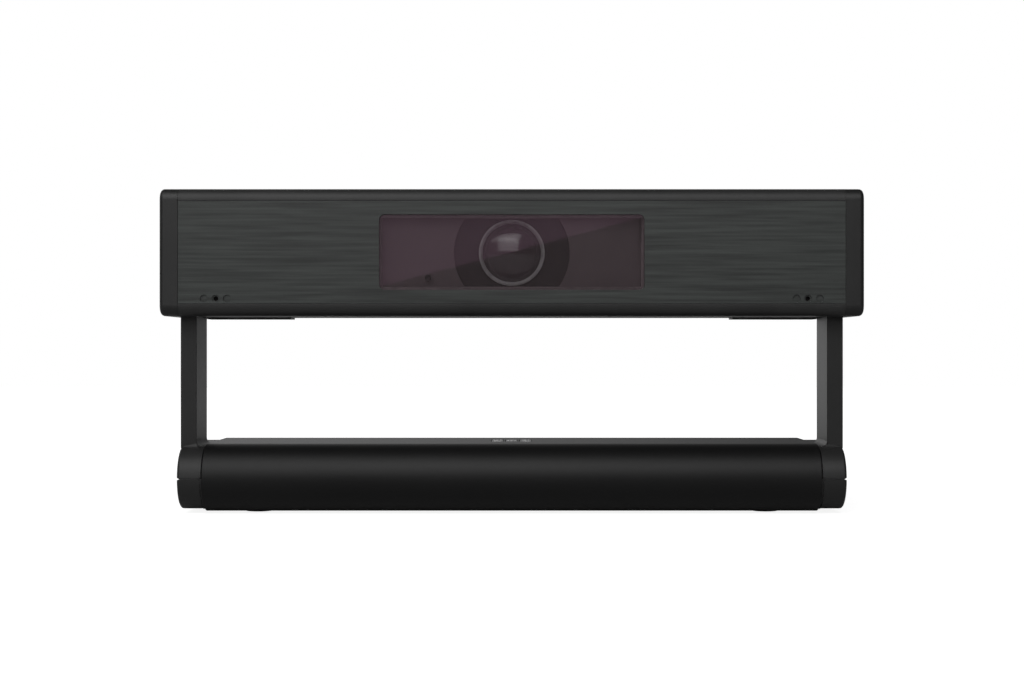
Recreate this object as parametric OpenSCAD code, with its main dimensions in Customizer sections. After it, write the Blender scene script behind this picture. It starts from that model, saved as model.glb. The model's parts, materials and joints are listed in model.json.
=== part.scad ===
// Conference camera: a wide camera head carried on two flat arms above a round-nosed base bar.
// The origin is on the surface it stands on, at the middle of its box.
// X runs to the right as seen from the front, +Y to the back, +Z up. Millimetres.

/* [Head] */
// Width of the camera head over its end caps
head_w = 353; // [341:1:400]
// Depth of the head from front to back
head_depth = 64; // [62:1:80]
// Height of the head
head_h = 63.9; // [62.5:0.2:76]
// Radius of the head's long edges
head_edge_r = 5.6; // [5:0.1:6]
// Wall of the head housing
head_wall = 2.5; // [2.2:0.1:3]
// Thickness of each head end cap
cap_t = 9.4; // [9:0.1:12]
// Radius round the face of an end cap
cap_edge_r = 2.2; // [1:0.1:2.5]
// Wall of an end cap
cap_wall = 2.8; // [2.2:0.1:3]

/* [Front panel] */
// Thickness of the brushed front panel
panel_t = 1.6; // [1.2:0.1:1.8]
// Height of the housing's lip above the panel
lip_top = 6.3; // [6:0.1:7]
// Height of the housing's lip below the panel
lip_bottom = 6.3; // [6:0.1:7]
// How far the ledge behind the panel reaches past its edge
ledge_h = 4.6; // [4.4:0.1:5]
// Thickness of the ledge behind the panel
ledge_t = 2; // [1.5:0.1:2.5]

/* [Window] */
// Width of the smoked window
window_w = 132.5; // [100:0.5:140]
// Height of the smoked window
window_h = 37.6; // [36:0.2:38]
// Corner radius of the window
window_r = 2.8; // [1:0.1:4]
// Width of the adhesive frame past the window's edge
gasket_margin = 2.2; // [1.5:0.1:2.4]
// Thickness of the adhesive frame
gasket_t = 0.8; // [0.5:0.1:1.2]

/* [Lens] */
// Diameter of the lens carrier
carrier_d = 76; // [72:0.5:80]
// Height of the lens carrier between its flats
carrier_h = 36; // [35:0.2:37]
// Diameter of the opening in the light shield in front of the carrier
shield_hole_d = 58.3; // [50:0.1:60]
// Height of that opening between its flats
shield_hole_h = 34.2; // [33:0.1:34.8]
// How far the carrier's face lies behind the front
carrier_back = 9; // [8.5:0.1:11]
// Thickness of the carrier
carrier_t = 3; // [2:0.1:4]
// Outer diameter of the lens ring
ring_d = 33.2; // [32:0.1:34]
// Width of the lens ring's face
ring_face = 1.85; // [1.5:0.05:2]
// How far the lens ring stands in front of the carrier
ring_t = 2.6; // [2:0.1:3]
// How far the front lens bulges from the carrier's face
dome_h = 6; // [4:0.1:6.4]
// Outer diameter of the lens barrel
barrel_d = 28; // [24:0.5:28]
// Length of the lens barrel behind the carrier's face
barrel_len = 22; // [18:0.5:24]
// Wall of the lens barrel
barrel_wall = 1.8; // [1.5:0.1:3]

/* [Arms] */
// Thickness of an arm, side to side
arm_t = 8.1; // [7:0.1:9]
// Depth of an arm, front to back
arm_d = 31; // [28:0.5:34]
// How far an arm's front face lies behind the front
arm_back = 13.2; // [12:0.1:18]
// How far an arm's outer face lies inside the head's end
arm_inset = 8.5; // [8:0.1:12]
// Gap between the base bar and the underside of the head
arm_gap = 64.6; // [50:0.2:100]
// Radius of the fillet at the inner side of an arm's foot
foot_fillet = 2.6; // [1:0.1:3]

/* [Base bar] */
// Depth of the base bar
base_depth = 95; // [80:1:120]
// Height of the base bar
bar_h = 34.2; // [32:0.2:40]
// Wall of the base sleeve
bar_wall = 2; // [1.6:0.1:2.4]
// Width of a base end cap
base_cap_w = 12.2; // [11:0.1:16]
// How far the end caps are smaller than the sleeve all round
base_cap_step = 1.1; // [0.5:0.1:1.5]
// Radius round the face of a base end cap
base_cap_edge_r = 1.5; // [0.8:0.1:2]
// Gap between the sleeve and an arm's foot
seam_gap = 0.6; // [0.3:0.1:1]
// Height of the groove between the halves of an end cap
groove_h = 1.2; // [0.8:0.1:1.6]
// Depth of that groove
groove_depth = 1.4; // [0.8:0.1:1.6]
// How far an end cap's tenon enters the sleeve
tenon_len = 10; // [9:0.5:14]

/* [Tilt pivot] */
// Largest tilt of the head each way, in degrees
tilt_max = 10; // [5:1:12]
// Height of the pivot above the head's underside
pivot_h = 14; // [13:0.1:15]
// Diameter of the pivot pin
pin_d = 8; // [6:0.1:9]
// Running clearance round the pin, on the radius
pin_play = 0.05; // [0.03:0.01:0.08]
// Thickness of a friction washer
washer_t = 0.4; // [0.3:0.05:0.5]

/* [Keys] */
// Width of a key
key_w = 6; // [5:0.1:6.2]
// Length of a key, front to back
key_len = 20; // [14:0.5:24]
// Distance between neighbouring keys' middles
key_pitch = 7.4; // [7.2:0.1:9]
// How far the keys' middle lies behind the front
key_back = 46; // [40:0.5:50]
// Travel of a key
key_travel = 0.8; // [0.5:0.1:0.9]

/* [Mounts and feet] */
// Radius of the tripod thread
tripod_r = 3.175; // [3.175:0.001:4.7625]
// Depth of the tripod thread
tripod_depth = 8; // [6:0.5:9]
// Radius of a rubber foot
foot_r = 7; // [5:0.5:9]
// Height of a rubber foot
foot_h = 1; // [0.8:0.1:2]

/* [Sockets] */
// Width of the socket plate in the back
plate_w = 110; // [100:1:130]
// Height of the socket plate
plate_h = 18; // [16:0.5:22]
// Width of the video socket's mouth
video_w = 15; // [14:0.1:16]
// Height of the video socket's mouth
video_h = 5.6; // [5:0.1:6]
// Width of the data socket's mouth
data_w = 9; // [8.5:0.1:10]
// Height of the data socket's mouth
data_h = 3.3; // [3:0.1:3.6]
// Radius of the power socket's mouth
power_r = 2.9; // [2:0.05:3]

/* [Hidden] */
$fn = 48;
overrun = 1;
slip = 0.1;
apart = 0.3;
wide_gap = 0.5;
hull_fn = 32;
edge_steps = 5;
right = 1;
left = -1;

// Heights and depths that the pieces share
base_z0 = foot_h;
base_z1 = base_z0 + bar_h;
base_mid = (base_z0 + base_z1) / 2;
head_z0 = base_z1 + arm_gap;
head_z1 = head_z0 + head_h;
head_mid = (head_z0 + head_z1) / 2;
front = -base_depth / 2;
head_y1 = front + head_depth;
head_mid_y = (front + head_y1) / 2;
housing_x = head_w / 2 - cap_t;

// Inside of the head housing
floor_z = head_z0 + head_wall;
ceiling_z = head_z1 - head_wall;
inner_front = front + panel_t + ledge_t;
inner_back = head_y1 - head_wall;
inner_r = 1.5;
plate_flange = 2.5;
plate_flange_t = 1.4;

// Front panel and window
panel_z0 = head_z0 + lip_bottom;
panel_z1 = head_z1 - lip_top;
panel_back = front + panel_t;
window_mid = (panel_z0 + panel_z1) / 2;
window_step = 0.15;
gasket_lap = 1.6;

// Microphone openings, three at each end of the panel
mic_shares = [0.9217, 0.8866, 0.8526];
mic_x = [for (share = mic_shares) share * housing_x];
mic_r = 1.95;
mic_sink = 0.9;
mic_port_r = 1.2;
mic_z = panel_z0 + 2 * mic_port_r;
capsule_r = 2.6;
capsule_t = 1.5;
mic_board_t = 1;
mic_board_w = 22;
mic_board_h = 12;

// Arms and pivot
arm_x1 = head_w / 2 - arm_inset;
arm_x0 = arm_x1 - arm_t;
arm_y0 = front + arm_back;
arm_y1 = arm_y0 + arm_d;
pivot_y = (arm_y0 + arm_y1) / 2;
pivot_z = head_z0 + pivot_h;
bearing_w = arm_t - 2 * washer_t;
bearing_x0 = arm_x0 + washer_t;
bearing_x1 = arm_x1 - washer_t;
neck_h = 4;
slot_half = (arm_d / 2 + pivot_h * sin(tilt_max)) / cos(tilt_max) + wide_gap;
washer_r = 0.9 * pin_d;
pin_head_r = 0.85 * pin_d;
pin_head_t = 2;
nut_t = 4;
bracket_t = 3;
bracket_x1 = arm_x0 - slip;
bracket_x0 = bracket_x1 - bracket_t;
bracket_foot = 42;
bracket_foot_t = 2.5;
bracket_rise = 9;
plate_back = 40;
hinge_plate_w = 44;
hinge_plate_d = 16;
hinge_plate_t = 0.9;
hinge_plate_gap = 0.7;
hinge_plate_x1 = arm_x0 - hinge_plate_gap;
hinge_plate_x0 = hinge_plate_x1 - hinge_plate_w;
hinge_plate_y0 = front + plate_back;
bracket_y0 = pivot_y - arm_d / 2 + wide_gap;
bracket_y1 = hinge_plate_y0 + hinge_plate_d;

// Cable way inside an arm
way_w = 7;
way_t = 1.6;
way_y0 = pivot_y + pin_d / 2 + 2.5 * wide_gap;
way_x = (arm_x0 + arm_x1) / 2;
ribbon_t = 0.8;
ribbon_w = 6.4;
ribbon_z = base_mid + 4;
ribbon_end_h = 5;

// Base bar
sleeve_x = arm_x1 - base_cap_w - seam_gap;
cap_x0 = sleeve_x + seam_gap;
half_gap = groove_h / 2;
half_seam = 0.1;
lower_cap_gap = 0.2;
base_floor = base_z0 + bar_wall;
base_ceiling = base_z1 - bar_wall;
cap_profile_d = base_depth - 2 * base_cap_step;
cap_profile_h = bar_h - 2 * base_cap_step;
tenon_play = 0.15;
tenon_profile_d = base_depth - 2 * bar_wall - 2 * tenon_play;
tenon_profile_h = bar_h - 2 * bar_wall - 2 * tenon_play;

// Tray, weight and boards in the base
tray_t = 1.5;
tray_x = sleeve_x - tenon_len - 4 * wide_gap;
tray_y = (base_depth - bar_h) / 2 - 3;
tray_rim = base_mid - 2;
weight_x = 0.92 * tray_x;
weight_y = tray_y - 3 * tray_t;
weight_h = 8;
board_t = 1.6;
base_board_len = 95;
base_board_x0 = -0.88 * tray_x;
connector_w = 10;
insert_r = 2 * tripod_r;
insert_top = 1.5;
foot_x = 0.84 * sleeve_x;
foot_y = 0.65 * tray_y;

// Keys
key_y = front + key_back;
key_x = [-key_pitch, 0, key_pitch];
key_corner = 1.4;
key_flange = 0.35;
key_flange_t = 1.4;
key_flange_z1 = base_ceiling - apart;
key_stem_w = 2.4;
key_stem_h = 2.6;
switch_w = 4.4;
switch_h = 1;
key_board_z1 = key_flange_z1 - key_flange_t - key_stem_h - key_travel - apart - switch_h;
key_board_x = key_pitch + 2.4 * key_w;
key_board_y = key_len / 2 + 2 * key_w;
key_post_w = 5;

// Pieces inside the head
chassis_t = 1.5;
chassis_gap = 9.8;
chassis_x = bracket_x1 - bracket_foot - chassis_gap;
chassis_y0 = front + carrier_back;
chassis_y1 = inner_back - inner_r;
upright_x = carrier_d / 2;
shield_gap = 2.2;
shield_t = 0.8;
shield_lap = 1.5;
shield_y1 = front + carrier_back - shield_gap;
shield_y0 = shield_y1 - shield_t;
shield_rim_y = inner_front + slip / 2;
shield_x = window_w / 2 + 2 * gasket_margin;
shield_z0 = panel_z0 + ledge_h - shield_lap;
shield_z1 = panel_z1 - ledge_h + shield_lap;
upright_t = 2;
carrier_y = front + carrier_back;
upright_y = carrier_y + carrier_t;
upright_top = window_mid + carrier_h / 2 + 2;
standoff_h = 4.5;
standoff_r = 2.6;
board_z0 = floor_z + chassis_t + standoff_h;
board_z1 = board_z0 + board_t;
board_x = chassis_x - 3 * standoff_r;
board_y0 = carrier_y + barrel_len;
board_y1 = inner_back - plate_flange_t - wide_gap;
glass_r = ring_d / 2 - ring_face;
dome_r = (glass_r * glass_r + dome_h * dome_h) / (2 * dome_h);
dome_angle = asin(glass_r / dome_r);
dome_steps = 12;
lens_seat = 1.2;
lens_t = [3.2, 2.4];
lens_shares = [0.3, 0.62];
sensor_w = 13;
sensor_h = 10;
sensor_t = 1.4;
sensor_board_w = 32;
barrel_end = carrier_y + barrel_len;
chip_w = 17;
chip_t = 1.6;
sink_gap = 2.5;
sink_w = 46;
sink_d = 18;
sink_base = 2;
sink_fin = 11;
fin_t = 1.2;
fin_count = 9;
eye_x = -42.1;
eye_drop = 12.6;
eye_r = 1.5;
eye_len = 5;
eye_board_w = 9;
eye_gap = 0.4;

// Sockets and their plate in the back
plate_z = board_z1 + plate_h / 2 - 2.5;
plate_r = 2;
socket_len = 11;
socket_wall = 0.7;
video_x = 28;
data_x = 4;
power_x = -22;
power_body = 9;
chip_x = power_x - power_body / 2 - sink_gap - sink_w / 2;
mouth_play = 0.25;
vent_count = 9;
vent_w = 2.2;
vent_h = 26;
vent_pitch = 5.4;
vent_r = vent_w / 2;
vent_x = plate_w / 2 + plate_flange + 8;

// Screws
screw_r = 1.5;
screw_head_r = 2.9;
screw_head_t = 1.5;
screw_play = 0.1;
hex_r = 1;
hex_depth = 0.8;
screw_hole_r = screw_r + screw_play;
arm_screw_x = cap_x0 - tenon_len / 2;
arm_screw_y = 0.6 * tray_y;
arm_screw_len = bar_h - 3 * bar_wall;
weight_screw_x = 0.8 * weight_x;
weight_screw_len = bar_wall + tray_t + 0.7 * weight_h;
hinge_screw_len = hinge_plate_t + head_wall + bracket_foot_t;
hinge_screw_x = [bracket_x1 - bracket_foot + 2 * screw_head_r, bracket_x0 - 2 * screw_head_r];
hinge_screw_y = hinge_plate_y0 + hinge_plate_d / 2;
chassis_screw_len = head_wall + chassis_t;
chassis_screw_x = 0.88 * chassis_x;
chassis_screw_y = [chassis_y0 + 2 * screw_head_r, chassis_y1 - 2 * screw_head_r];
carrier_screw_x = shield_hole_d / 2 + 1.2 * screw_head_r;
carrier_screw_z = 0.25 * carrier_h;
carrier_screw_len = carrier_t + upright_t;
plate_screw_len = head_wall + plate_flange_t;

// A block between two opposite corners
module block(low, high) {
    translate(low) cube(high - low);
}

// A rounded rectangle about the origin
module round_rect(w, h, r) {
    square([w - 2 * r, h], center = true);
    square([w, h - 2 * r], center = true);
    for (sx = [left, right], sy = [left, right])
        translate([sx * (w / 2 - r), sy * (h / 2 - r)]) circle(r = r);
}

// A flat-topped profile with half-round ends, about the origin
module stadium(d, h) {
    square([d - h, h], center = true);
    for (s = [left, right]) translate([s * (d - h) / 2, 0]) circle(d = h);
}

// Extrudes an outline of depth and height from x0 to x1
module along_x(x0, x1) {
    translate([x0, 0, 0]) rotate([90, 0, 90]) linear_extrude(x1 - x0) children();
}

// Extrudes an outline of width and height from y0 to y1
module along_y(y0, y1) {
    translate([0, y1, 0]) rotate([90, 0, 0]) linear_extrude(y1 - y0) children();
}

// A round bar along X, Y or Z that starts at a point
module rod_x(at, r, len) {
    translate(at) rotate([0, 90, 0]) cylinder(r = r, h = len);
}
module rod_y(at, r, len) {
    translate(at) rotate([-90, 0, 0]) cylinder(r = r, h = len);
}
module rod_z(at, r, len) {
    translate(at) cylinder(r = r, h = len);
}

// Draws what is given at the right, or its mirror image at the left
module at_side(side) {
    mirror([side == left ? 1 : 0, 0, 0]) children();
}

// A puck along X with a rounded edge on its outer face
module soft_puck(r, t, edge) {
    outline = concat(
        [[0, 0], [r, 0]],
        [for (i = [0 : edge_steps])
            let (a = 90 * i / edge_steps) [r - edge + edge * cos(a), t - edge + edge * sin(a)]],
        [[0, t]]);
    rotate([0, 90, 0]) rotate_extrude($fn = hull_fn) polygon(outline);
}

// A countersunk screw that points up, its head's face at the origin, and the space it needs
module screw(len) {
    difference() {
        union() {
            cylinder(r1 = screw_head_r, r2 = screw_r, h = screw_head_t);
            cylinder(r = screw_r, h = len);
        }
        translate([0, 0, -overrun]) cylinder(r = hex_r, h = overrun + hex_depth, $fn = 6);
    }
}
module screw_space(len) {
    translate([0, 0, -overrun]) cylinder(r = screw_head_r + screw_play, h = overrun);
    cylinder(r1 = screw_head_r + screw_play, r2 = screw_hole_r, h = screw_head_t);
    cylinder(r = screw_hole_r, h = len + screw_play);
}

// The same turned to point to the back or to the front
module facing_back() {
    rotate([-90, 0, 0]) children();
}
module facing_front() {
    rotate([90, 0, 0]) children();
}

// Places of the screws
module at_arm_screws() {
    for (sx = [left, right], sy = [left, right])
        translate([sx * arm_screw_x, sy * arm_screw_y, base_z0]) children();
}
module at_weight_screws() {
    for (sx = [left, right], sy = [left, right])
        translate([sx * weight_screw_x, sy * arm_screw_y, base_z0]) children();
}
module at_hinge_screws() {
    for (side = [left, right], x = hinge_screw_x)
        translate([side * x, hinge_screw_y, head_z0 - hinge_plate_t]) children();
}
module at_chassis_screws() {
    for (side = [left, right], y = chassis_screw_y)
        translate([side * chassis_screw_x, y, head_z0]) children();
}
module at_carrier_screws() {
    for (sx = [left, right], sz = [left, right])
        translate([sx * carrier_screw_x, carrier_y, window_mid + sz * carrier_screw_z])
            facing_back() children();
}
module at_plate_screws() {
    for (side = [left, right])
        translate([side * (plate_w / 2 - 2 * screw_head_r), head_y1, plate_z])
            facing_front() children();
}

// Base bar

module at_keys() {
    for (x = key_x) translate([x, key_y, 0]) children();
}

module base_sleeve() {
    color([0.09, 0.09, 0.09])
    difference() {
        along_x(-sleeve_x, sleeve_x) translate([0, base_mid]) stadium(base_depth, bar_h);
        along_x(-sleeve_x - overrun, sleeve_x + overrun)
            translate([0, base_mid]) stadium(base_depth - 2 * bar_wall, bar_h - 2 * bar_wall);
        at_keys()
            translate([0, 0, base_ceiling - overrun])
                linear_extrude(bar_wall + 2 * overrun)
                    round_rect(key_w + 2 * apart, key_len + 2 * apart, key_corner);
        at_arm_screws() screw_space(arm_screw_len);
        at_weight_screws() screw_space(weight_screw_len);
        rod_z([0, 0, base_z0 - overrun], insert_r + slip, bar_wall + 2 * overrun);
    }
}

module base_tray() {
    rim = tray_y - tray_t;
    color([0.6, 0.62, 0.64])
    difference() {
        union() {
            block([-tray_x, -tray_y, base_floor], [tray_x, tray_y, base_floor + tray_t]);
            for (s = [left, right])
                translate([0, s * (tray_y - tray_t / 2), (base_floor + tray_rim) / 2])
                    cube([2 * tray_x, tray_t, tray_rim - base_floor], center = true);
            for (s = [left, right])
                translate([s * (key_board_x - key_post_w / 2), key_y, 0])
                    block([-key_post_w / 2, -key_post_w / 2, base_floor],
                        [key_post_w / 2, key_post_w / 2, key_board_z1 - board_t]);
        }
        at_weight_screws() screw_space(weight_screw_len);
        rod_z([0, 0, base_floor - overrun], insert_r + slip, tray_t + 2 * overrun);
    }
}

module weight_bar() {
    z0 = base_floor + tray_t;
    post = key_post_w / 2 + wide_gap;
    color([0.3, 0.3, 0.31])
    difference() {
        block([-weight_x, -weight_y, z0], [weight_x, weight_y, z0 + weight_h]);
        for (s = [left, right])
            translate([s * (key_board_x - key_post_w / 2), key_y, 0])
                block([-post, -post, z0 - overrun], [post, post, z0 + weight_h + overrun]);
        at_weight_screws() screw_space(weight_screw_len);
        rod_z([0, 0, z0 - overrun], insert_r + slip, weight_h + 2 * overrun);
    }
}

module base_board() {
    color([0.05, 0.25, 0.12])
    block([base_board_x0, -tray_y, tray_rim], [base_board_x0 + base_board_len, tray_y, tray_rim + board_t]);
}

module cable_connector() {
    color([0.85, 0.83, 0.75])
    block([base_board_x0 + wide_gap, way_y0 - wide_gap, tray_rim + board_t],
        [base_board_x0 + wide_gap + connector_w, way_y0 + way_w + wide_gap, ribbon_z]);
}

module key_board() {
    color([0.05, 0.25, 0.12])
    block([-key_board_x, key_y - key_board_y, key_board_z1 - board_t],
        [key_board_x, key_y + key_board_y, key_board_z1]);
}

module key_switches() {
    color([0.15, 0.15, 0.15])
    at_keys() block([-switch_w / 2, -switch_w / 2, key_board_z1],
        [switch_w / 2, switch_w / 2, key_board_z1 + switch_h]);
}

module key(x) {
    stem_z = key_flange_z1 - key_flange_t - key_stem_h;
    color([0.12, 0.12, 0.12])
    translate([x, key_y, 0]) {
        translate([0, 0, key_flange_z1 - key_flange_t])
            linear_extrude(base_z1 - key_flange_z1 + key_flange_t) round_rect(key_w, key_len, key_corner);
        block([-key_w / 2, -key_len / 2 - 2 * apart - key_flange, key_flange_z1 - key_flange_t],
            [key_w / 2, key_len / 2 + 2 * apart + key_flange, key_flange_z1]);
        block([-key_stem_w / 2, -key_stem_w / 2, stem_z],
            [key_stem_w / 2, key_stem_w / 2, key_flange_z1]);
    }
}
module volume_down_key() {
    key(key_x[0]);
}
module mute_key() {
    key(key_x[1]);
}
module volume_up_key() {
    key(key_x[2]);
}

module tripod_insert() {
    color([0.8, 0.65, 0.3])
    difference() {
        rod_z([0, 0, base_z0], insert_r, tripod_depth + insert_top);
        rod_z([0, 0, base_z0 - overrun], tripod_r, tripod_depth + overrun);
    }
}

module rubber_feet() {
    color([0.08, 0.08, 0.08])
    for (sx = [left, right], sy = [left, right]) rod_z([sx * foot_x, sy * foot_y, 0], foot_r, foot_h);
}

// Full section of a base end cap with a soft outer edge
module cap_body() {
    r = cap_profile_h / 2;
    hull()
        for (s = [left, right])
            translate([cap_x0, s * (cap_profile_d / 2 - r), base_mid])
                soft_puck(r, base_cap_w, base_cap_edge_r);
}

// Wedge groove across the outer face of an end cap, along its parting line
module parting_groove() {
    mouth = half_gap * (groove_depth + overrun) / groove_depth;
    along_y(-base_depth / 2 - overrun, base_depth / 2 + overrun)
        translate([arm_x1, base_mid])
            polygon([[overrun, -mouth], [overrun, mouth], [-groove_depth, 0]]);
}

// Cuts away all above or below the parting line
module keep_upper() {
    block([cap_x0 - tenon_len - overrun, -base_depth, base_mid + half_seam / 2],
        [arm_x1 + overrun, base_depth, head_z1]);
}
module keep_lower() {
    block([cap_x0 - tenon_len - overrun, -base_depth, base_z0 - overrun],
        [arm_x1 + overrun, base_depth, base_mid - half_seam / 2]);
}

// Concave fillet along the inner side of an arm's foot
module arm_foot() {
    z = base_z1 - base_cap_step;
    arc_steps = 8;
    translate([0, arm_y1, 0]) rotate([90, 0, 0]) linear_extrude(arm_d)
        translate([arm_x0, z])
            polygon(concat(
                [[overrun, -overrun], [overrun, foot_fillet]],
                [for (i = [0 : arc_steps])
                    let (a = 90 * i / arc_steps)
                        [-foot_fillet + foot_fillet * cos(a), foot_fillet - foot_fillet * sin(a)]],
                [[-foot_fillet, -overrun]]));
}

module arm() {
    color([0.13, 0.13, 0.13])
    difference() {
        union() {
            intersection() {
                cap_body();
                keep_upper();
            }
            intersection() {
                along_x(cap_x0 - tenon_len, cap_x0 + wide_gap)
                    translate([0, base_mid]) stadium(tenon_profile_d, tenon_profile_h);
                keep_upper();
            }
            block([arm_x0, arm_y0, base_z1 - 2 * base_cap_step], [arm_x1, arm_y1, head_z0 + neck_h]);
            block([bearing_x0, arm_y0, head_z0], [bearing_x1, arm_y1, pivot_z]);
            rod_x([bearing_x0, pivot_y, pivot_z], arm_d / 2, bearing_w);
            arm_foot();
        }
        parting_groove();
        rod_x([arm_x0 - overrun, pivot_y, pivot_z], pin_d / 2 + pin_play, arm_t + 2 * overrun);
        block([way_x - way_t / 2, way_y0, ribbon_z - way_t],
            [way_x + way_t / 2, way_y0 + way_w, pivot_z + arm_d]);
        block([cap_x0 - tenon_len - overrun, way_y0, ribbon_z - way_t],
            [way_x + way_t / 2, way_y0 + way_w, ribbon_z + way_t]);
        for (side = [left, right])
            translate([arm_screw_x, side * arm_screw_y, base_z0]) screw_space(arm_screw_len);
    }
}
module arm_left() {
    at_side(left) arm();
}
module arm_right() {
    at_side(right) arm();
}

module base_cap() {
    color([0.11, 0.11, 0.11])
    difference() {
        union() {
            intersection() {
                union() {
                    cap_body();
                    along_x(sleeve_x + lower_cap_gap, cap_x0 + wide_gap)
                        translate([0, base_mid]) stadium(cap_profile_d, cap_profile_h);
                }
                keep_lower();
            }
            intersection() {
                along_x(cap_x0 - tenon_len, cap_x0 + wide_gap)
                    translate([0, base_mid]) stadium(tenon_profile_d, tenon_profile_h);
                keep_lower();
            }
        }
        parting_groove();
        for (side = [left, right])
            translate([arm_screw_x, side * arm_screw_y, base_z0]) screw_space(arm_screw_len);
    }
}
module base_cap_left() {
    at_side(left) base_cap();
}
module base_cap_right() {
    at_side(right) base_cap();
}

module arm_screws() {
    color([0.2, 0.2, 0.2]) at_arm_screws() screw(arm_screw_len);
}

module weight_screws() {
    color([0.2, 0.2, 0.2]) at_weight_screws() screw(weight_screw_len);
}

module arm_ribbon() {
    y0 = way_y0 + (way_w - ribbon_w) / 2;
    x1 = -way_x + ribbon_t / 2;
    color([0.75, 0.75, 0.78]) {
        block([x1 - ribbon_t, y0, ribbon_z], [x1, y0 + ribbon_w, pivot_z + ribbon_end_h]);
        block([x1 - ribbon_t, y0, ribbon_z],
            [base_board_x0 + wide_gap + connector_w, y0 + ribbon_w, ribbon_z + ribbon_t]);
    }
}

module friction_washers() {
    color([0.7, 0.68, 0.6])
    for (side = [left, right]) at_side(side)
        for (x = [arm_x0, bearing_x1])
            difference() {
                rod_x([x, pivot_y, pivot_z], washer_r, washer_t);
                rod_x([x - overrun, pivot_y, pivot_z], pin_d / 2 + pin_play, washer_t + 2 * overrun);
            }
}

// Head

// Room in the head's underside through which an arm passes as the head tilts
module arm_slot() {
    block([arm_x0 - wide_gap, pivot_y - slot_half, head_z0 - overrun],
        [arm_x1 + wide_gap, pivot_y + slot_half, floor_z + overrun]);
}

// The socket plate's opening, and the plate's own outline
module plate_outline(grow) {
    translate([0, plate_z]) round_rect(plate_w + 2 * grow, plate_h + 2 * grow, plate_r);
}

module vents() {
    for (side = [left, right], i = [0 : vent_count - 1])
        along_y(inner_back - overrun, head_y1 + overrun)
            translate([side * (vent_x + i * vent_pitch), head_mid]) round_rect(vent_w, vent_h, vent_r - slip / 2);
}

module mic_ports() {
    for (side = [left, right])
        rod_y([side * mic_x[1], front - overrun, mic_z], mic_port_r, inner_front - front + 2 * overrun);
}

module head_housing() {
    color([0.12, 0.12, 0.12])
    difference() {
        along_x(-housing_x, housing_x)
            difference() {
                translate([head_mid_y, head_mid]) round_rect(head_depth, head_h, head_edge_r);
                translate([(inner_front + inner_back) / 2, head_mid])
                    round_rect(inner_back - inner_front, ceiling_z - floor_z, inner_r);
                translate([front - overrun, panel_z0 - slip])
                    square([panel_t + overrun, panel_z1 - panel_z0 + 2 * slip]);
                translate([front, panel_z0 + ledge_h])
                    square([inner_front - front + overrun, panel_z1 - panel_z0 - 2 * ledge_h]);
            }
        for (side = [left, right]) at_side(side) arm_slot();
        along_y(inner_back - overrun, head_y1 + overrun) plate_outline(slip);
        vents();
        mic_ports();
        at_hinge_screws() screw_space(hinge_screw_len);
        at_chassis_screws() screw_space(chassis_screw_len);
    }
}

module front_panel() {
    color([0.25, 0.27, 0.26])
    difference() {
        block([-housing_x + slip, front, panel_z0], [housing_x - slip, panel_back, panel_z1]);
        along_y(front - overrun, panel_back + overrun)
            translate([0, window_mid])
                round_rect(window_w + 2 * slip, window_h + 2 * slip, window_r);
        for (side = [left, right], x = mic_x)
            rod_y([side * x, front - overrun, mic_z], mic_r, mic_sink + overrun);
        mic_ports();
    }
}

module window() {
    color([0.25, 0.19, 0.22, 0.6])
    along_y(front + window_step, panel_back)
        translate([0, window_mid]) round_rect(window_w, window_h, window_r);
}

module window_gasket() {
    color([0.05, 0.05, 0.05])
    along_y(panel_back, panel_back + gasket_t)
        translate([0, window_mid])
            difference() {
                square([window_w + 2 * gasket_margin, window_h + 2 * gasket_margin], center = true);
                square([window_w - 2 * gasket_lap, window_h - 2 * gasket_lap], center = true);
            }
}

module head_cap() {
    tab_t = 2;
    tab_len = 6;
    tab_w = 14;
    corner_y = head_depth / 2 - head_edge_r;
    corner_z = head_h / 2 - head_edge_r;
    cap_x1 = head_w / 2;
    color([0.1, 0.1, 0.1])
    difference() {
        union() {
            translate([housing_x, head_mid_y, head_mid])
                hull()
                    for (sy = [left, right], sz = [left, right])
                        translate([0, sy * corner_y, sz * corner_z])
                            soft_puck(head_edge_r, cap_t, cap_edge_r);
            for (s = [left, right])
                translate([0, head_mid_y + s * head_depth / 5, 0])
                    block([housing_x - tab_len, -tab_w / 2, ceiling_z - tab_t - slip],
                        [housing_x + cap_t / 2, tab_w / 2, ceiling_z - slip]);
            block([housing_x - tab_len, inner_back - tab_w, floor_z + slip],
                [housing_x + cap_t / 2, inner_back - tab_t, floor_z + tab_t]);
        }
        translate([housing_x - overrun, 0, 0])
            along_x(0, cap_t - cap_wall + overrun)
                translate([head_mid_y, head_mid])
                    difference() {
                        round_rect(head_depth - 2 * cap_wall, head_h - 2 * cap_wall, head_edge_r - cap_wall);
                        for (s = [left, right])
                            translate([s * head_depth / 5, head_h / 2 - cap_wall])
                                square([tab_w, 2 * tab_t], center = true);
                        translate([head_depth / 2 - cap_wall - tab_w / 2, -head_h / 2 + cap_wall])
                            square([tab_w, 2 * tab_t], center = true);
                    }
        arm_slot();
    }
}
module head_cap_left() {
    at_side(left) head_cap();
}
module head_cap_right() {
    at_side(right) head_cap();
}

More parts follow.
